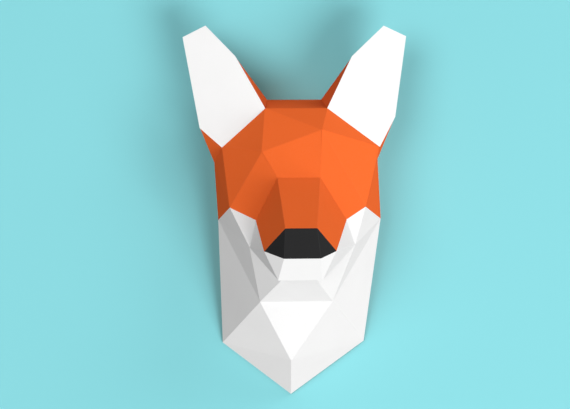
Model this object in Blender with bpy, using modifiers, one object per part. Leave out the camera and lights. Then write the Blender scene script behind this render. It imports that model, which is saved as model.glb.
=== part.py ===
"""Fox head wall hanging folded from coloured card.

Every card piece is one folded sheet with its own glue tabs. The sheets are cut along the lines of one closed shell
of flat facets, so that pieces which meet share the same fold points.

The wall is the plane Y = 0 and the head looks along -Y, with +Z up. Left and right are the viewer's.
Lengths are in millimetres until a point is written into a mesh.
"""

import bmesh
import bpy
from math import pi, radians, sin, tan
from mathutils import Matrix, Vector

# Sizes
MM = 0.001
HEAD_HEIGHT = 400.0
CARD = 0.4
GAP = 0.3
PANEL = 1.5
TAB_WIDTH = 8.0
TAB_END_ANGLE = radians(60.0)
TAB_CORNER_SHARE = 0.42
SHORTEST_TAB = 6.0
SHORT_STEP_BACK = 0.35
SHARPEST_SHORT_STEP = radians(40.0)
CORNER_CUT = 0.7
FOLD_CUT = 0.45
HOLE_DIAMETER = 12.0
HOLE_BELOW_TOP = 22.0
SAME_PLACE = 0.01

# Sizes that follow from those
RIM_DEPTH = PANEL + GAP
TAB_DEPTH = CARD + GAP
EDGE_TRIM = GAP / 2.0

# Fold points that come in pairs: half width, sideways shift of the pair, distance in front of the rim, height,
# and how much the right one is raised and the left one lowered. They are scaled together to the head's height.
PAIRED_POINTS = {
    "ear_tip_outer": (119.0, 0.0, 54.0, 178.5, 0.5),
    "ear_tip_inner": (95.0, 0.0, 56.0, 189.8, 0.0),
    "ear_inner": (62.0, -1.8, 60.0, 156.5, 0.0),
    "ear_outer": (103.5, 2.0, 60.0, 87.0, 5.5),
    "ear_root": (74.0, 0.0, 0.0, 106.0, 0.0),
    "crown_front": (33.0, 0.0, 70.0, 101.2, 0.0),
    "crown_back": (30.0, 2.0, 0.0, 116.0, 0.0),
    "brow_outer": (83.5, 5.0, 66.0, 60.5, 0.0),
    "brow_inner": (31.4, -6.1, 90.0, 66.0, 11.5),
    "bridge": (22.0, 0.0, 104.0, 27.6, 0.0),
    "temple": (88.0, 1.3, 40.0, 47.0, 1.5),
    "cheek_top": (71.0, 0.0, 84.0, -3.0, 0.0),
    "cheek_outer": (87.4, 4.5, 42.0, -15.9, 0.0),
    "snout_base": (46.8, 2.5, 99.0, -15.9, 0.0),
    "nose_top": (15.7, -1.3, 156.0, -23.7, 0.0),
    "nose_side": (35.8, -1.6, 143.0, -46.6, 0.0),
    "nose_low": (18.3, 0.0, 152.0, -53.6, 0.0),
    "lip": (22.2, -0.8, 131.0, -76.3, 0.0),
    "lip_back": (17.0, -1.4, 118.0, -76.0, 0.0),
    "cheek_low": (54.5, 3.7, 97.0, -43.2, 1.0),
    "throat": (38.0, -1.9, 79.0, -101.5, 0.0),
    "shoulder": (78.1, -0.8, 0.0, -151.8, 0.0),
    "temple_wall": (79.0, 0.0, 0.0, 42.0, 0.0),
    "cheek_wall": (77.5, 1.5, 0.0, -28.0, 0.0),
}

# Fold points on the middle line: sideways place, distance in front of the rim, height
MIDDLE_POINTS = {
    "bib": (-6.1, 47.0, -167.0),
    "tip": (-4.0, 0.0, -209.7),
}

# Points moved along Y into the plane of three others, so that facets of four or more corners stay flat. A name
# without its side stands for both sides in turn.
POINTS_IN_PLANES = [
    ("brow_inner-", ("brow_inner+", "bridge-", "bridge+")),
    ("cheek_top", ("brow_inner", "bridge", "snout_base")),
    ("nose_side", ("bridge", "nose_top", "snout_base")),
    ("ear_inner", ("crown_front", "brow_outer", "ear_tip_outer")),
    ("ear_tip_inner", ("crown_front", "brow_outer", "ear_tip_outer")),
    ("ear_outer", ("crown_front", "brow_outer", "ear_tip_outer")),
]

# Card pieces from the topmost to the lowest: where two meet, the one further down the list has the glue tabs.
# A facet on the middle line names both of its sides; the others are made once on each side.
NOSE = (
    ["nose_top- nose_top+ nose_low+ nose_low-"],
    ["nose_top nose_side nose_low"],
)
MUZZLE = (
    ["nose_low- nose_low+ lip+ lip-", "lip- lip+ lip_back+ lip_back-"],
    ["nose_side nose_low lip"],
)
EAR_FRONT = ([], ["crown_front ear_inner ear_tip_inner ear_tip_outer ear_outer brow_outer"])
CROWN = (
    [
        "crown_back- crown_back+ crown_front+ crown_front-",
        "crown_front- crown_front+ brow_inner+",
        "crown_front- brow_inner+ brow_inner-",
        "brow_inner- brow_inner+ bridge+ bridge-",
    ],
    ["crown_front brow_outer brow_inner"],
)
SNOUT = (["bridge- bridge+ nose_top+ nose_top-"], ["bridge nose_top nose_side snout_base"])
CHEEK = (
    [],
    [
        "cheek_outer cheek_top cheek_low",
        "cheek_top snout_base cheek_low",
        "snout_base nose_side cheek_low",
        "cheek_low nose_side lip",
        "cheek_low lip lip_back",
    ],
)
FACE_SIDE = (
    [],
    [
        "brow_outer brow_inner cheek_top",
        "brow_inner bridge snout_base cheek_top",
        "brow_outer temple cheek_top",
        "temple cheek_outer cheek_top",
    ],
)
JAW = (["lip_back- lip_back+ throat+ throat-"], ["cheek_low lip_back throat"])
CHEST = (["throat- throat+ bib"], ["throat bib shoulder"])
BIB_TIP = ([], ["shoulder bib tip"])
NECK_SIDE = ([], ["cheek_outer cheek_low throat", "cheek_outer throat shoulder"])
EAR_BACK = (
    [],
    [
        "ear_inner crown_back crown_front",
        "ear_inner ear_root crown_back",
        "ear_inner ear_tip_inner ear_root",
        "ear_tip_inner ear_tip_outer ear_root",
        "ear_tip_outer ear_outer ear_root",
        "ear_outer temple_wall ear_root",
        "ear_outer temple temple_wall",
        "ear_outer brow_outer temple",
    ],
)
SIDE_PANEL = (
    [],
    ["temple cheek_outer cheek_wall", "temple cheek_wall temple_wall", "cheek_outer shoulder cheek_wall"],
)
BACK_OUTLINE = (
    "crown_back- crown_back+ ear_root+ temple_wall+ cheek_wall+ shoulder+ tip "
    "shoulder- cheek_wall- temple_wall- ear_root-"
)
SHEETS = [
    ("nose", "black_card", NOSE, False),
    ("muzzle", "white_card", MUZZLE, False),
    ("ear_front", "white_card", EAR_FRONT, True),
    ("crown", "orange_card", CROWN, False),
    ("snout", "orange_card", SNOUT, False),
    ("cheek", "white_card", CHEEK, True),
    ("face_side", "orange_card", FACE_SIDE, True),
    ("jaw", "white_card", JAW, False),
    ("chest", "white_card", CHEST, False),
    ("bib_tip", "white_card", BIB_TIP, False),
    ("neck_side", "white_card", NECK_SIDE, True),
    ("ear_back", "orange_card", EAR_BACK, True),
    ("side_panel", "orange_card", SIDE_PANEL, True),
]
SIDES = {"-": "left", "+": "right"}

# Card colours as linear red, green and blue
CARD_COLOURS = {
    "black_card": (0.020, 0.020, 0.021),
    "white_card": (0.900, 0.900, 0.895),
    "orange_card": (0.900, 0.155, 0.028),
    "back_board": (0.700, 0.140, 0.035),
}


def clear_scene():
    for obj in list(bpy.data.objects):
        bpy.data.objects.remove(obj)


def new_collection(name):
    collection = bpy.data.collections.new(name)
    bpy.context.scene.collection.children.link(collection)
    return collection


def card_material(name):
    material = bpy.data.materials.new(name)
    material.use_nodes = True
    shader = material.node_tree.nodes["Principled BSDF"]
    shader.inputs["Base Color"].default_value = (*CARD_COLOURS[name], 1.0)
    shader.inputs["Roughness"].default_value = 0.85
    shader.inputs["Specular IOR Level"].default_value = 0.25
    material.diffuse_color = (*CARD_COLOURS[name], 1.0)
    return material


def moved_into_plane(point, first, second, third):
    """The point moved along Y until it lies in the plane of three others."""
    normal = (second - first).cross(third - first)
    return Vector((point.x, point.y - normal.dot(point - first) / normal.y, point.z))


def scaled_point(across, depth, height):
    """A point of the pattern at the head's full size, with the rim held in front of the back panel."""
    pattern_height = PAIRED_POINTS["ear_tip_inner"][3] - MIDDLE_POINTS["tip"][2]
    scale = HEAD_HEIGHT / pattern_height
    return Vector((across * scale, -RIM_DEPTH - depth * scale, height * scale))


def on_side(name, side):
    """The full name of a fold point: names that give their own side or lie on the middle line stay as they are."""
    return name + side if name in PAIRED_POINTS else name


def fold_points():
    """Every fold point of the head by name, with a - for its left side and a + for its right."""
    points = {}
    for name, (half_width, shift, depth, height, raised) in PAIRED_POINTS.items():
        points[name + "-"] = scaled_point(shift - half_width, depth, height - raised)
        points[name + "+"] = scaled_point(shift + half_width, depth, height + raised)
    for name, place in MIDDLE_POINTS.items():
        points[name] = scaled_point(*place)
    for name, plane in POINTS_IN_PLANES:
        for side in SIDES:
            moved, *corners = [on_side(point, side) for point in (name, *plane)]
            points[moved] = moved_into_plane(points[moved], *(points[corner] for corner in corners))
    return points


def sheet_facets():
    """The facets of each sheet by its full name, in the order in which the sheets overlap."""
    sheets = {}
    for name, material, (middle, paired), on_each_side in SHEETS:
        for side, word in SIDES.items():
            full_name = f"{name}_{word}" if on_each_side else name
            facets = sheets.setdefault(full_name, (material, []))[1]
            facets.extend([on_side(name, side) for name in facet.split()] for facet in paired)
            if side == "-":
                facets.extend(facet.split() for facet in middle)
    return sheets


def closed_shell(points, sheets):
    """One closed mesh of all the facets, and the number of the sheet that each facet belongs to."""
    shell = bmesh.new()
    owner = shell.faces.layers.int.new("sheet")
    corners = {name: shell.verts.new(point) for name, point in points.items()}
    for number, (_, facets) in enumerate(sheets.values()):
        for facet in facets:
            shell.faces.new([corners[name] for name in facet])[owner] = number
    shell.faces.new([corners[name] for name in BACK_OUTLINE.split()])[owner] = -1
    bmesh.ops.recalc_face_normals(shell, faces=shell.faces)
    shell.normal_update()
    shell.verts.index_update()
    return shell, owner


class SheetCutter:
    """Cuts one sheet with its tabs out of the closed shell."""

    def __init__(self, shell, owner, number):
        self.faces = [face for face in shell.faces if face[owner] == number]
        self.owner = owner
        self.number = number
        self.sheet = bmesh.new()
        self.shared = {}

    def vert(self, key, position):
        """The sheet's vertex for a key, made the first time it is asked for."""
        if key not in self.shared:
            self.shared[key] = self.sheet.verts.new(position * MM)
        return self.shared[key]

    def neighbour(self, loop):
        return loop.link_loop_radial_next.face

    def is_fold(self, loop):
        return self.neighbour(loop)[self.owner] == self.number

    def has_tab(self, loop):
        """Tabs go in behind sheets higher up the list and behind the back."""
        return self.neighbour(loop)[self.owner] < self.number

    def directions(self, loop):
        """Along the seam, into this facet and into the neighbour."""
        along = (loop.link_loop_next.vert.co - loop.vert.co).normalized()
        over = self.neighbour(loop)
        return along, loop.face.normal.cross(along), over.normal.cross(-along)

    def seam_turn(self, loop):
        """How far the shell turns over this seam: nothing where it is hollow."""
        _, into, _ = self.directions(loop)
        over = self.neighbour(loop)
        if into.dot(over.normal) > 0.0:
            return 0.0
        return loop.face.normal.angle(over.normal)

    def step_back(self, loop):
        """How far the sheet stops short of the seam line where its tab is folded down."""
        if self.neighbour(loop)[self.owner] == -1:
            return 0.0
        turn = self.seam_turn(loop)
        if not self.has_tab(loop) or turn == 0.0:
            return EDGE_TRIM
        return TAB_DEPTH / sin(turn) if turn > SHARPEST_SHORT_STEP else SHORT_STEP_BACK

    def corner_step(self, loop):
        """How far the sheet stops short of the seam line where there is no tab."""
        if self.neighbour(loop)[self.owner] == -1 or not self.has_tab(loop):
            return self.step_back(loop)
        return min(self.step_back(loop), EDGE_TRIM + CARD * tan(self.seam_turn(loop) / 2.0))

    def fold_end(self, edge, corner):
        """Where a fold stops short of a corner on the sheet's edge."""
        distance = FOLD_CUT
        for loop in edge.link_loops:
            at_corner = loop if loop.vert == corner else loop.link_loop_next
            other = at_corner.link_loop_prev if loop.vert == corner else at_corner
            angle = at_corner.calc_angle()
            if self.is_fold(other):
                distance = max(distance, CORNER_CUT / (2.0 * sin(angle / 2.0)))
            else:
                distance = max(distance, self.corner_step(other) / sin(angle))
        direction = (edge.other_vert(corner).co - corner.co).normalized()
        return self.vert((edge.index, corner.index), corner.co + direction * distance)

    def corner_verts(self, loop):
        """The sheet's vertices at one corner of a facet."""
        corner = loop.vert
        before, after = loop.link_loop_prev, loop
        if all(face[self.owner] == self.number for face in corner.link_faces):
            return [self.vert(corner.index, corner.co)]
        if self.is_fold(before) or self.is_fold(after):
            folds = [edge_loop.edge for edge_loop in (before, after) if self.is_fold(edge_loop)]
            return [self.fold_end(edge, corner) for edge in folds]
        along_before, into_before, _ = self.directions(before)
        along_after, into_after, _ = self.directions(after)
        reach = sin(loop.calc_angle())
        position = corner.co + along_after * self.corner_step(before) / reach
        position -= along_before * self.corner_step(after) / reach
        return [self.sheet.verts.new(position * MM)]

    def end_room(self, loop, own_angle, over_angle):
        """Length of seam kept free of the tab at one of its ends."""
        return max(2.2, 1.6 / sin(over_angle) + 0.6, self.step_back(loop) / tan(own_angle) + 1.5)

    def tab(self, loop):
        """The two vertices in the facet's edge from which the tab is folded, or none on a short seam."""
        over_loop = loop.link_loop_radial_next
        over = over_loop.face
        start, end = loop.vert.co, loop.link_loop_next.vert.co
        along, into, under = self.directions(loop)
        start_angle = over_loop.link_loop_next.calc_angle()
        end_angle = over_loop.calc_angle()
        first = self.end_room(loop, loop.calc_angle(), start_angle)
        last = (end - start).length - self.end_room(loop, loop.link_loop_next.calc_angle(), end_angle)
        if last - first < SHORTEST_TAB:
            return []
        taper_start = 1.0 / tan(min(TAB_END_ANGLE, TAB_CORNER_SHARE * start_angle))
        taper_end = 1.0 / tan(min(TAB_END_ANGLE, TAB_CORNER_SHARE * end_angle))
        height = max((vert.co - start).dot(under) for vert in over.verts)
        width = min(TAB_WIDTH, 0.35 * height, 0.7 * (last - first) / (taper_start + taper_end))
        step = self.step_back(loop)
        root = into * step
        depth = 0.0 if over[self.owner] == -1 else TAB_DEPTH
        roots = [self.sheet.verts.new((start + along * place + root) * MM) for place in (first, last)]
        inner = roots
        if depth and abs(-root.dot(over.normal) - depth) > SAME_PLACE:
            level = -EDGE_TRIM * under - depth * over.normal
            inner = [self.sheet.verts.new((start + along * place + level) * MM) for place in (first, last)]
            self.sheet.faces.new([roots[1], roots[0], inner[0], inner[1]])
        far = under * width - over.normal * depth
        ends = [first + taper_start * width, last - taper_end * width]
        outer = [self.sheet.verts.new((start + along * place + far) * MM) for place in ends]
        self.sheet.faces.new([inner[1], inner[0], outer[0], outer[1]])
        return roots

    def cut(self):
        """The sheet's outer surface with all its facets and tabs."""
        for face in self.faces:
            outline = []
            for loop in face.loops:
                outline.extend(self.corner_verts(loop))
                if not self.is_fold(loop) and self.has_tab(loop):
                    outline.extend(self.tab(loop))
            self.sheet.faces.new(outline)
        return self.sheet


def sheet_object(name, surface, material, collection):
    """A folded sheet: its outer surface given the thickness of the card towards the inside."""
    mesh = bpy.data.meshes.new(name)
    surface.to_mesh(mesh)
    surface.free()
    mesh.materials.append(material)
    sheet = bpy.data.objects.new(name, mesh)
    collection.objects.link(sheet)
    card = sheet.modifiers.new("Card", "SOLIDIFY")
    card.solidify_mode = "NON_MANIFOLD"
    card.nonmanifold_thickness_mode = "CONSTRAINTS"
    card.nonmanifold_boundary_mode = "NONE"
    card.nonmanifold_merge_threshold = 0.0
    card.thickness = CARD * MM
    card.offset = -1.0
    return sheet


def hole_cutter(points, collection):
    """A round bar along Y where the hanging hole goes."""
    height = points["crown_back+"].z - HOLE_BELOW_TOP
    place = Matrix.Translation((0.0, -PANEL / 2.0 * MM, height * MM)) @ Matrix.Rotation(pi / 2.0, 4, "X")
    radius = HOLE_DIAMETER / 2.0 * MM
    length = 4.0 * PANEL * MM
    bar = bmesh.new()
    bmesh.ops.create_cone(
        bar, cap_ends=True, segments=48, radius1=radius, radius2=radius, depth=length, matrix=place
    )
    mesh = bpy.data.meshes.new("hole_cutter")
    bar.to_mesh(mesh)
    bar.free()
    cutter = bpy.data.objects.new("hole_cutter", mesh)
    collection.objects.link(cutter)
    cutter.hide_render = True
    cutter.display_type = "WIRE"
    return cutter


def back_panel(points, material, collection, cutters):
    """The flat back that lies on the wall, with the hole it hangs by."""
    board = bmesh.new()
    outline = []
    for name in BACK_OUTLINE.split():
        outline.append(board.verts.new((points[name].x * MM, 0.0, points[name].z * MM)))
    face = board.faces.new(outline)
    grown = bmesh.ops.extrude_face_region(board, geom=[face])["geom"]
    front = [item for item in grown if isinstance(item, bmesh.types.BMVert)]
    bmesh.ops.translate(board, verts=front, vec=(0.0, -PANEL * MM, 0.0))
    bmesh.ops.recalc_face_normals(board, faces=board.faces)
    mesh = bpy.data.meshes.new("back_panel")
    board.to_mesh(mesh)
    board.free()
    mesh.materials.append(material)
    panel = bpy.data.objects.new("back_panel", mesh)
    collection.objects.link(panel)
    cut = panel.modifiers.new("Hanging hole", "BOOLEAN")
    cut.operation = "DIFFERENCE"
    cut.solver = "EXACT"
    cut.object = hole_cutter(points, cutters)
    return panel


def build():
    clear_scene()
    head = new_collection("fox_wall_hanging")
    cutters = new_collection("cutters")
    materials = {name: card_material(name) for name in CARD_COLOURS}
    points = fold_points()
    sheets = sheet_facets()
    shell, owner = closed_shell(points, sheets)
    shell.edges.index_update()
    for number, (name, (material, _)) in enumerate(sheets.items()):
        surface = SheetCutter(shell, owner, number).cut()
        sheet_object(name, surface, materials[material], head)
    shell.free()
    back_panel(points, materials["back_board"], head, cutters)


build()
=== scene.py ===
"""Fox head wall hanging in folded card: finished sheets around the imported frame, a wall and soft light."""
from math import cos, radians, sin

import bmesh
import bpy
import numpy
from bpy.props import FloatProperty, FloatVectorProperty, IntProperty, PointerProperty
from mathutils import Matrix, Vector
from mathutils.bvhtree import BVHTree


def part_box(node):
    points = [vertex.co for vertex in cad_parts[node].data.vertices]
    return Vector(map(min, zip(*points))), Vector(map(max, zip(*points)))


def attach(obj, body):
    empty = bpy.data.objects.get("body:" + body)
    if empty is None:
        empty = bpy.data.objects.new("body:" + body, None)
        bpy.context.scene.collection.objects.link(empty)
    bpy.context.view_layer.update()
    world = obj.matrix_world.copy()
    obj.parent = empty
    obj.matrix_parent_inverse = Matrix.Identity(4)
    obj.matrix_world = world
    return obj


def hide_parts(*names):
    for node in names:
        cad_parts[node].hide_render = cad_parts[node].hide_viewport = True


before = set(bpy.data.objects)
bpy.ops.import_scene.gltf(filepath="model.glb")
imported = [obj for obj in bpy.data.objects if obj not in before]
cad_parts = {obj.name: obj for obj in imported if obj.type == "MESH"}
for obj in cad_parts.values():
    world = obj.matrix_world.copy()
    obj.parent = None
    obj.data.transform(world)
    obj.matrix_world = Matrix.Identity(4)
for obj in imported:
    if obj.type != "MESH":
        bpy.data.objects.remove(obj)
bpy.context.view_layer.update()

bl_info = {
    "name": "Folded Card Fox Head",
    "version": (1, 0, 0),
    "blender": (4, 5, 0),
    "location": "View3D > Sidebar > Fox Head",
    "description": "Finishes the sheets of a folded card fox head and sets it on a plain wall",
    "category": "Object",
}

MM = 0.001
FINISH = "_finish"

# Faces of one flat facet differ by less than the first angle, facets at a fold by more than the second
FLAT = radians(0.15)
GENTLEST_FOLD = radians(2.0)

# How straight through the card a line runs at least, as the cosine of its angle to the facets' normals
STRAIGHT_THROUGH = 0.5
# The two faces of the card have normals whose product is less than this
OPPOSITE = -0.9
# A cut edge's diagonal is at least this share of the edge's length
DIAGONAL_SHARE = 0.7
# Directions weaker than this share of the strongest are left out when a corner's move is solved
WEAKEST_DIRECTION = 0.3

# The wall's half width, its gap to the back panel, and how large its window is against the panel
WALL_HALF = 3.0
WALL_GAP = 0.6 * MM
WINDOW_SHARE = 0.985
# The corners of the back panel's outline are further than this from its middle, those of its hole are nearer
NEAREST_CORNER = 100.0 * MM
# What the lights look at
AIM = Vector((0.0, -60.0, 0.0)) * MM


def millimetres(name, description, default):
    return FloatProperty(
        name=name, description=description, default=default * MM, unit="LENGTH", precision=5
    )


def colour(name, description, default):
    return FloatVectorProperty(
        name=name, description=description, default=default, subtype="COLOR", size=3, min=0.0, max=1.0
    )


def lamp(name, default):
    return FloatVectorProperty(
        name=name, description="Power, degrees to the right, degrees up", default=default
    )


class FoxCardSizes(bpy.types.PropertyGroup):
    """Sizes of the folded card."""

    weld: millimetres("Weld", "Corners of a sheet closer than this are one", 0.01)
    rim_width: millimetres("Rim Width", "A narrower face is a cut edge or the step down to a tab", 0.75)
    longest_move: millimetres("Longest Move", "No corner is drawn out further than this", 0.5)
    widest_seam: millimetres("Widest Seam", "A wider opening than this isn't a seam and isn't closed", 3.0)
    seam_share: FloatProperty(
        name="Seam Share", description="Share of its room that an edge at a seam is drawn out by",
        default=0.8,
    )
    fold_width: millimetres("Fold Width", "How wide the card is rounded at a fold", 0.22)
    fold_segments: IntProperty(name="Fold Segments", description="Faces across a rounded fold", default=2)
    tooth_height: millimetres("Tooth Height", "Height of the card's fine tooth", 0.035)
    fibre_size: millimetres("Fibre Size", "Length of the fibres in the card", 2.4)


class FoxCardColours(bpy.types.PropertyGroup):
    """Colours of the cards."""

    orange: colour("Orange Card", "Crown, snout, face and ear backs", (0.930, 0.152, 0.026))
    white: colour("White Card", "Ears, cheeks, muzzle and bib", (0.930, 0.930, 0.928))
    black: colour("Black Card", "Nose", (0.019, 0.019, 0.0195))
    board: colour("Back Board", "Flat back on the wall", (0.760, 0.170, 0.050))


class FoxStageSettings(bpy.types.PropertyGroup):
    """The wall, the light and the camera."""

    wall: colour("Wall", "Colour of the wall", (0.252, 0.675, 0.722))
    sky: FloatProperty(name="Sky", description="Strength of the light from all round", default=0.1)
    light_distance: FloatProperty(
        name="Light Distance", description="From the head", default=4.0, unit="LENGTH"
    )
    light_size: FloatProperty(
        name="Light Size", description="Width of each light", default=2.6, unit="LENGTH"
    )
    low: lamp("Low Light", (127.0, 34.0, -36.0))
    left: lamp("Left Light", (72.0, -30.0, 5.0))
    high: lamp("High Light", (66.0, 56.0, 43.0))
    camera_turn: FloatProperty(
        name="Camera Turn", description="How far the camera stands to the left", default=radians(3.01),
        subtype="ANGLE",
    )
    camera_roll: FloatProperty(name="Camera Roll", description="Clockwise", default=0.0074, subtype="ANGLE")
    camera_distance: FloatProperty(
        name="Camera Distance", description="From the wall", default=1.4, unit="LENGTH"
    )
    camera_aside: millimetres("Camera Aside", "How far the camera is moved left of its line", 8.9)
    lens: FloatProperty(name="Lens", description="Focal length in millimetres", default=79.6)


# Materials


def add_node(tree, kind, place, inputs=(), **settings):
    """Adds a node, with its settings and pairs of a socket and that socket's value."""
    node = tree.nodes.new(kind)
    node.location = place
    for name, value in settings.items():
        setattr(node, name, value)
    for socket, value in inputs:
        node.inputs[socket].default_value = value
    return node


def card_surface_group():
    """Node group with the look of uncoated coloured card: fibres, fine tooth and paler worn folds."""
    group = bpy.data.node_groups.new("Card Surface", "ShaderNodeTree")
    for name, way, kind in (
        ("Card", "INPUT", "NodeSocketColor"),
        ("Fibre", "INPUT", "NodeSocketColor"),
        ("Worn Fold", "INPUT", "NodeSocketColor"),
        ("Fibre Scale", "INPUT", "NodeSocketFloat"),
        ("Fold Wear", "INPUT", "NodeSocketFloat"),
        ("Color", "OUTPUT", "NodeSocketColor"),
        ("Roughness", "OUTPUT", "NodeSocketFloat"),
        ("Height", "OUTPUT", "NodeSocketFloat"),
    ):
        group.interface.new_socket(name, in_out=way, socket_type=kind)
    given = add_node(group, "NodeGroupInput", (-1200, 0))
    result = add_node(group, "NodeGroupOutput", (900, 0))
    place = add_node(group, "ShaderNodeTexCoord", (-1200, -300))
    link = group.links.new

    # Wide, faint clouds of tone
    cloud = add_node(group, "ShaderNodeTexNoise", (-900, 300), (("Scale", 22.0), ("Detail", 3.0)))
    link(place.outputs["Object"], cloud.inputs["Vector"])
    cloud_tone = add_node(group, "ShaderNodeMapRange", (-650, 300), (("To Min", 0.972), ("To Max", 1.028)))
    link(cloud.outputs["Fac"], cloud_tone.inputs["Value"])

    # Fibres: thin curled lines where a distorted noise passes through its middle value
    curl = add_node(
        group, "ShaderNodeTexNoise", (-900, 0), (("Detail", 2.0), ("Roughness", 0.45), ("Distortion", 2.2))
    )
    link(place.outputs["Object"], curl.inputs["Vector"])
    link(given.outputs["Fibre Scale"], curl.inputs["Scale"])
    middle = add_node(group, "ShaderNodeMath", (-700, 0), ((1, 0.5),), operation="SUBTRACT")
    link(curl.outputs["Fac"], middle.inputs[0])
    ridge = add_node(group, "ShaderNodeMath", (-520, 0), operation="ABSOLUTE")
    link(middle.outputs["Value"], ridge.inputs[0])
    strand = add_node(
        group, "ShaderNodeMapRange", (-350, 0),
        (("From Min", 0.0), ("From Max", 0.03), ("To Min", 1.0), ("To Max", 0.0)),
    )
    link(ridge.outputs["Value"], strand.inputs["Value"])
    strand_share = add_node(group, "ShaderNodeMath", (-200, -50), ((1, 0.35),), operation="MULTIPLY")
    link(strand.outputs["Result"], strand_share.inputs[0])
    fibre_mix = add_node(group, "ShaderNodeMix", (-100, 150), data_type="RGBA")
    link(strand_share.outputs["Value"], fibre_mix.inputs["Factor"])
    link(given.outputs["Card"], fibre_mix.inputs["A"])
    link(given.outputs["Fibre"], fibre_mix.inputs["B"])
    toned = add_node(group, "ShaderNodeVectorMath", (150, 250), operation="SCALE")
    link(fibre_mix.outputs["Result"], toned.inputs[0])
    link(cloud_tone.outputs["Result"], toned.inputs["Scale"])

    # Folds, paler where the attribute from the bevel is one
    wear = add_node(group, "ShaderNodeAttribute", (150, -250), attribute_name="fold")
    wear_share = add_node(group, "ShaderNodeMath", (350, -200), operation="MULTIPLY")
    link(wear.outputs["Fac"], wear_share.inputs[0])
    link(given.outputs["Fold Wear"], wear_share.inputs[1])
    wear_mix = add_node(group, "ShaderNodeMix", (550, 200), data_type="RGBA")
    link(wear_share.outputs["Value"], wear_mix.inputs["Factor"])
    link(toned.outputs["Vector"], wear_mix.inputs["A"])
    link(given.outputs["Worn Fold"], wear_mix.inputs["B"])
    link(wear_mix.outputs["Result"], result.inputs["Color"])

    # The card's fine tooth, in the roughness and, with the fibres, in the height
    tooth = add_node(
        group, "ShaderNodeTexNoise", (-900, -350), (("Scale", 1500.0), ("Detail", 3.0), ("Roughness", 0.6))
    )
    link(place.outputs["Object"], tooth.inputs["Vector"])
    rough = add_node(group, "ShaderNodeMapRange", (350, 0), (("To Min", 0.78), ("To Max", 0.95)))
    link(tooth.outputs["Fac"], rough.inputs["Value"])
    link(rough.outputs["Result"], result.inputs["Roughness"])
    relief = add_node(group, "ShaderNodeMath", (150, -450), ((1, 0.3),), operation="MULTIPLY_ADD")
    link(strand.outputs["Result"], relief.inputs[0])
    link(tooth.outputs["Fac"], relief.inputs[2])
    link(relief.outputs["Value"], result.inputs["Height"])
    return group


def blended(first, second, share):
    return tuple(a + (b - a) * share for a, b in zip(first, second))


def card_material(name, group, card, fibre, worn, wear):
    """One card: its colour, fibre colour and how pale its folds have worn."""
    sizes = bpy.context.scene.fox_sizes
    material = bpy.data.materials.new(name + FINISH)
    material.use_nodes = True
    tree = material.node_tree
    shader = tree.nodes["Principled BSDF"]
    shader.inputs["Specular IOR Level"].default_value = 0.12
    surface = add_node(tree, "ShaderNodeGroup", (-600, 0), node_tree=group)
    for socket, value in (
        ("Card", (*card, 1.0)),
        ("Fibre", (*fibre, 1.0)),
        ("Worn Fold", (*worn, 1.0)),
        ("Fibre Scale", 1.0 / sizes.fibre_size),
        ("Fold Wear", wear),
    ):
        surface.inputs[socket].default_value = value
    bump = add_node(
        tree, "ShaderNodeBump", (-300, -250), (("Strength", 0.35), ("Distance", sizes.tooth_height))
    )
    tree.links.new(surface.outputs["Color"], shader.inputs["Base Color"])
    tree.links.new(surface.outputs["Roughness"], shader.inputs["Roughness"])
    tree.links.new(surface.outputs["Height"], bump.inputs["Height"])
    tree.links.new(bump.outputs["Normal"], shader.inputs["Normal"])
    material.diffuse_color = (*card, 1.0)


# Sheets


def whole_facets(node):
    """A copy of a sheet's mesh in which each flat facet is one face."""
    sheet = bmesh.new()
    sheet.from_mesh(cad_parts[node].data)
    bmesh.ops.remove_doubles(sheet, verts=sheet.verts, dist=bpy.context.scene.fox_sizes.weld)
    bmesh.ops.dissolve_limit(
        sheet, angle_limit=FLAT, verts=sheet.verts, edges=sheet.edges, delimit={"NORMAL"}
    )
    sheet.normal_update()
    return sheet


def is_narrow(face, width):
    """True for the faces along the cut edges of the card and for the steps down to its tabs."""
    longest = max(edge.calc_length() for edge in face.edges)
    return face.calc_area() / longest < width


def other_sheets(node):
    """Search trees of all the other sheets' surfaces."""
    trees = []
    for name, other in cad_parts.items():
        if name != node:
            places = [vert.co for vert in other.data.vertices]
            faces = [face.vertices for face in other.data.polygons]
            trees.append(BVHTree.FromPolygons(places, faces))
    return trees


def seam_growth(pair, trees, sizes):
    """How far the card is drawn out here: a share of the way to its nearest neighbour."""
    room = max(min(tree.find_nearest(vert.co)[3] for tree in trees) for vert in pair)
    return 0.0 if room > sizes.widest_seam else room * sizes.seam_share


def through_card(vert, narrow):
    """The vertex on the other side of the card, or None where the card has no cut edge."""
    normals = [face.normal for face in vert.link_faces if face not in narrow]
    best, partner = STRAIGHT_THROUGH, None
    for other in [corner for face in vert.link_faces if face in narrow for corner in face.verts]:
        along = (other.co - vert.co).normalized()
        straight = min((abs(along.dot(normal)) for normal in normals), default=0.0)
        if straight > best:
            best, partner = straight, other
    return partner


def is_open_edge(edge, facet, narrow):
    """True where a facet ends in a cut edge or in the step down to its tab, False in the tab itself."""
    strip = next(face for face in edge.link_faces if face is not facet)
    if strip not in narrow:
        return False
    shortest = DIAGONAL_SHARE * edge.calc_length()
    long_sides = [side for side in strip.edges if side.calc_length() > shortest]
    halves = [face for side in long_sides for face in side.link_faces if face in narrow]
    across = [
        face for half in halves for side in half.edges for face in side.link_faces
        if face not in narrow and face is not facet
    ]
    wide = max(across, key=lambda face: face.calc_area(), default=None)
    if wide is None:
        return False
    return wide.normal.dot(facet.normal) < OPPOSITE or wide.calc_area() < facet.calc_area()


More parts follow.
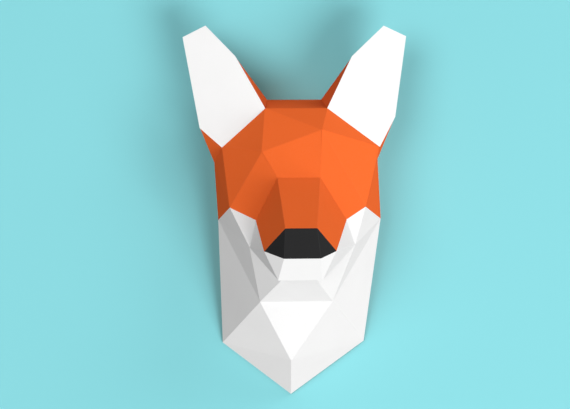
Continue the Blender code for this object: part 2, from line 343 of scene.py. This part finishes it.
def drawn_out(vert, narrow, growth):
    """The move in the planes of the facets here that brings their open edges out by the growth."""
    rows, amounts = [], []
    for facet in [face for face in vert.link_faces if face not in narrow]:
        rows.append(facet.normal)
        amounts.append(0.0)
        for side in vert.link_edges:
            if side in facet.edges and any(face in narrow for face in side.link_faces):
                outward = (side.verts[1].co - side.verts[0].co).normalized().cross(facet.normal)
                inside = facet.calc_center_median() - side.verts[0].co
                rows.append(-outward if outward.dot(inside) > 0.0 else outward)
                amounts.append(growth if is_open_edge(side, facet, narrow) else 0.0)
    return Vector(numpy.linalg.pinv(numpy.array(rows), rcond=WEAKEST_DIRECTION) @ numpy.array(amounts))


def close_seams(sheet, narrow, trees, sizes):
    """Draws the cut edges and the tops of the steps out to the neighbours, so that the seams are closed."""
    moves = {}
    for vert in sheet.verts:
        partner = through_card(vert, narrow)
        if partner and partner not in moves and vert not in moves:
            growth = seam_growth((vert, partner), trees, sizes)
            both = [
                drawn_out(corner, narrow, growth) for corner in (vert, partner)
                if any(face not in narrow for face in corner.link_faces)
            ]
            move = sum(both, Vector()) / len(both)
            if move.length > sizes.longest_move:
                move *= sizes.longest_move / move.length
            moves[vert] = moves[partner] = move
    for vert, move in moves.items():
        vert.co += move


def finish_sheet(node, slot):
    """Makes the finished sheet: whole facets, closed seams, softly rounded folds and its card."""
    sizes = bpy.context.scene.fox_sizes
    sheet = whole_facets(node)
    rims = {face for face in sheet.faces if is_narrow(face, sizes.rim_width)}
    if node != "back_panel":
        close_seams(sheet, rims, other_sheets(node), sizes)
        sheet.normal_update()
    folds = []
    for edge in sheet.edges:
        if len(edge.link_faces) == 2 and not rims.intersection(edge.link_faces):
            if edge.calc_face_angle() > GENTLEST_FOLD:
                folds.append(edge)
    worn = sheet.faces.layers.float.new("fold")
    rounded = bmesh.ops.bevel(
        sheet, geom=folds, offset=sizes.fold_width, offset_type="OFFSET", segments=sizes.fold_segments,
        profile=0.5, affect="EDGES", clamp_overlap=True, material=-1, loop_slide=True,
    )
    for face in rounded["faces"]:
        face[worn] = 1.0
    mesh = bpy.data.meshes.new(node + "_card")
    sheet.to_mesh(mesh)
    sheet.free()
    mesh.materials.append(bpy.data.materials[slot + FINISH])
    piece = bpy.data.objects.new(node + "_card", mesh)
    bpy.context.scene.collection.objects.link(piece)
    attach(piece, "root")
    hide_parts(node)


def finish_sheets(nodes, slot):
    for node in nodes:
        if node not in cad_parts:
            raise RuntimeError(f"the frame has no sheet named {node}")
        finish_sheet(node, slot)


class FOX_OT_cards(bpy.types.Operator):
    """Mix the finishes of the orange, white and black card and of the back board"""

    bl_idname = "fox.cards"
    bl_label = "Card Finishes"

    def execute(self, context):
        colours = context.scene.fox_colours
        group = card_surface_group()
        white, orange = tuple(colours.white), tuple(colours.orange)
        black, board = tuple(colours.black), tuple(colours.board)
        pale = (1.0, 1.0, 1.0)
        straw = (0.7, 0.68, 0.62)
        for slot, card, fibre, worn, wear in (
            ("orange_card", orange, blended(orange, pale, 0.04), blended(orange, pale, 0.1), 0.12),
            ("white_card", white, blended(white, straw, 0.25), pale, 0.2),
            ("black_card", black, blended(black, pale, 0.012), blended(black, pale, 0.05), 0.2),
            ("back_board", board, blended(board, pale, 0.12), blended(board, pale, 0.3), 0.3),
        ):
            card_material(slot, group, card, fibre, worn, wear)
        return {"FINISHED"}


class FOX_OT_ears(bpy.types.Operator):
    """Finish the white ear fronts and the orange ear backs"""

    bl_idname = "fox.ears"
    bl_label = "Ears"

    def execute(self, context):
        finish_sheets(("ear_front_left", "ear_front_right"), "white_card")
        finish_sheets(("ear_back_left", "ear_back_right"), "orange_card")
        return {"FINISHED"}


class FOX_OT_face(bpy.types.Operator):
    """Finish the orange crown, snout and sides of the face"""

    bl_idname = "fox.face"
    bl_label = "Face"

    def execute(self, context):
        finish_sheets(("crown", "snout", "face_side_left", "face_side_right"), "orange_card")
        return {"FINISHED"}


class FOX_OT_nose(bpy.types.Operator):
    """Finish the black nose"""

    bl_idname = "fox.nose"
    bl_label = "Nose"

    def execute(self, context):
        finish_sheets(("nose",), "black_card")
        return {"FINISHED"}


class FOX_OT_cheeks(bpy.types.Operator):
    """Finish the white muzzle, cheeks and jaw"""

    bl_idname = "fox.cheeks"
    bl_label = "Muzzle, Cheeks and Jaw"

    def execute(self, context):
        finish_sheets(("muzzle", "cheek_left", "cheek_right", "jaw"), "white_card")
        return {"FINISHED"}


class FOX_OT_bib(bpy.types.Operator):
    """Finish the white bib and the sides of the neck"""

    bl_idname = "fox.bib"
    bl_label = "Bib and Neck"

    def execute(self, context):
        finish_sheets(("chest", "bib_tip", "neck_side_left", "neck_side_right"), "white_card")
        return {"FINISHED"}


class FOX_OT_back(bpy.types.Operator):
    """Finish the orange sides that run back to the wall and the flat back"""

    bl_idname = "fox.back"
    bl_label = "Sides and Back"

    def execute(self, context):
        finish_sheets(("side_panel_left", "side_panel_right"), "orange_card")
        finish_sheets(("back_panel",), "back_board")
        return {"FINISHED"}


# Stage


def wall_material(paint):
    """Matt wall paint. From behind, the wall can be seen through, so that the head's back shows."""
    material = bpy.data.materials.new("wall_paint")
    material.use_nodes = True
    tree = material.node_tree
    shader = tree.nodes["Principled BSDF"]
    shader.inputs["Base Color"].default_value = (*paint, 1.0)
    shader.inputs["Roughness"].default_value = 0.95
    shader.inputs["Specular IOR Level"].default_value = 0.0
    output = tree.nodes["Material Output"]
    side = add_node(tree, "ShaderNodeNewGeometry", (-200, 300))
    clear = add_node(tree, "ShaderNodeBsdfTransparent", (-200, 100))
    mix = add_node(tree, "ShaderNodeMixShader", (300, 200))
    tree.links.new(side.outputs["Backfacing"], mix.inputs["Fac"])
    tree.links.new(shader.outputs["BSDF"], mix.inputs[1])
    tree.links.new(clear.outputs["BSDF"], mix.inputs[2])
    tree.links.new(mix.outputs["Shader"], output.inputs["Surface"])
    return material


def add_wall(material):
    """Adds the wall, just behind the back panel, with a window where the panel covers it."""
    low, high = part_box("back_panel")
    middle = (low + high) / 2.0
    wall = bmesh.new()
    panel = whole_facets("back_panel")
    back = max(panel.faces, key=lambda face: face.normal.y * face.calc_area())
    rim = []
    for vert in back.verts:
        out = vert.co - middle
        if out.length > NEAREST_CORNER:
            place = middle + out * WINDOW_SHARE
            rim.append(wall.verts.new((place.x, WALL_GAP, place.z)))
    panel.free()
    corners = [
        wall.verts.new((middle.x + across * WALL_HALF, WALL_GAP, middle.z + up * WALL_HALF))
        for across, up in ((-1, -1), (1, -1), (1, 1), (-1, 1))
    ]
    edges = [wall.edges.new((a, b)) for a, b in zip(rim, rim[1:] + rim[:1])]
    edges += [wall.edges.new((a, b)) for a, b in zip(corners, corners[1:] + corners[:1])]
    bmesh.ops.triangle_fill(wall, edges=edges, use_beauty=True, use_dissolve=False, normal=(0.0, -1.0, 0.0))
    for face in wall.faces:
        if face.normal.y > 0.0:
            face.normal_flip()
    mesh = bpy.data.meshes.new("wall")
    wall.to_mesh(mesh)
    wall.free()
    mesh.materials.append(material)
    backdrop = bpy.data.objects.new("wall", mesh)
    backdrop.visible_shadow = False
    backdrop.visible_diffuse = False
    bpy.context.scene.collection.objects.link(backdrop)


def add_light(name, direction, distance, size, power):
    """A round soft light that looks at the head from a direction."""
    data = bpy.data.lights.new(name, "AREA")
    data.shape = "DISK"
    data.size = size
    data.energy = power
    light = bpy.data.objects.new(name, data)
    light.location = AIM + direction * distance
    light.rotation_mode = "QUATERNION"
    light.rotation_quaternion = (-direction).to_track_quat("-Z", "Y")
    bpy.context.scene.collection.objects.link(light)


def light_direction(turn, rise):
    return Vector((sin(turn) * cos(rise), -cos(turn) * cos(rise), sin(rise)))


def set_world(strength, seen):
    """Even light from all round; the camera sees the wall's colour in it."""
    world = bpy.data.worlds.new("studio")
    world.use_nodes = True
    tree = world.node_tree
    tree.nodes.clear()
    even = add_node(
        tree, "ShaderNodeBackground", (0, 0), (("Color", (1.0, 1.0, 1.0, 1.0)), ("Strength", strength))
    )
    shown = add_node(
        tree, "ShaderNodeBackground", (0, -200), (("Color", (*seen, 1.0)), ("Strength", 1.0))
    )
    path = add_node(tree, "ShaderNodeLightPath", (-300, 200))
    mix = add_node(tree, "ShaderNodeMixShader", (250, 0))
    output = add_node(tree, "ShaderNodeOutputWorld", (500, 0))
    tree.links.new(path.outputs["Is Camera Ray"], mix.inputs["Fac"])
    tree.links.new(even.outputs["Background"], mix.inputs[1])
    tree.links.new(shown.outputs["Background"], mix.inputs[2])
    tree.links.new(mix.outputs["Shader"], output.inputs["Surface"])
    bpy.context.scene.world = world


def add_camera(stage):
    """A camera a little to the left of the head, level with its middle."""
    turn, roll = stage.camera_turn, stage.camera_roll
    right = Vector((cos(turn), -sin(turn), 0.0))
    up = Vector((0.0, 0.0, 1.0))
    back = Vector((-sin(turn), -cos(turn), 0.0))
    place = back * stage.camera_distance - right * stage.camera_aside
    rolled_right = right * cos(roll) - up * sin(roll)
    rolled_up = up * cos(roll) + right * sin(roll)
    data = bpy.data.cameras.new("camera")
    data.lens = stage.lens
    data.sensor_width = 36.0
    data.clip_start = 0.05
    data.clip_end = 20.0
    camera = bpy.data.objects.new("camera", data)
    axes = Matrix((rolled_right, rolled_up, back)).transposed()
    camera.matrix_world = Matrix.Translation(place) @ axes.to_4x4()
    bpy.context.scene.collection.objects.link(camera)
    bpy.context.scene.camera = camera


class FOX_OT_stage(bpy.types.Operator):
    """Set up the wall, the soft light and the camera"""

    bl_idname = "fox.stage"
    bl_label = "Wall, Light and Camera"

    def execute(self, context):
        stage = context.scene.fox_stage
        wall = tuple(stage.wall)
        add_wall(wall_material(wall))
        for name in ("low", "left", "high"):
            power, turn, rise = getattr(stage, name)
            direction = light_direction(radians(turn), radians(rise))
            add_light(name, direction, stage.light_distance, stage.light_size, power)
        set_world(stage.sky, wall)
        add_camera(stage)
        context.scene.view_settings.view_transform = "Standard"
        return {"FINISHED"}


class FOX_PT_head(bpy.types.Panel):
    """Lists the steps that make the head"""

    bl_idname = "FOX_PT_head"
    bl_label = "Fox Head"
    bl_space_type = "VIEW_3D"
    bl_region_type = "UI"
    bl_category = "Fox Head"

    def draw(self, context):
        for settings in (context.scene.fox_sizes, context.scene.fox_colours, context.scene.fox_stage):
            box = self.layout.box()
            for name in settings.__annotations__:
                box.prop(settings, name)
        for operator in OPERATORS:
            self.layout.operator(operator.bl_idname)


OPERATORS = (
    FOX_OT_cards,
    FOX_OT_face,
    FOX_OT_ears,
    FOX_OT_nose,
    FOX_OT_cheeks,
    FOX_OT_bib,
    FOX_OT_back,
    FOX_OT_stage,
)
CLASSES = (FoxCardSizes, FoxCardColours, FoxStageSettings, *OPERATORS, FOX_PT_head)


def register():
    for item in CLASSES:
        bpy.utils.register_class(item)
    bpy.types.Scene.fox_sizes = PointerProperty(type=FoxCardSizes)
    bpy.types.Scene.fox_colours = PointerProperty(type=FoxCardColours)
    bpy.types.Scene.fox_stage = PointerProperty(type=FoxStageSettings)


def unregister():
    del bpy.types.Scene.fox_stage
    del bpy.types.Scene.fox_colours
    del bpy.types.Scene.fox_sizes
    for item in reversed(CLASSES):
        bpy.utils.unregister_class(item)


def main():
    register()
    bpy.ops.fox.cards()
    bpy.ops.fox.face()
    bpy.ops.fox.ears()
    bpy.ops.fox.nose()
    bpy.ops.fox.cheeks()
    bpy.ops.fox.bib()
    bpy.ops.fox.back()
    bpy.ops.fox.stage()


if __name__ == "__main__":
    main()
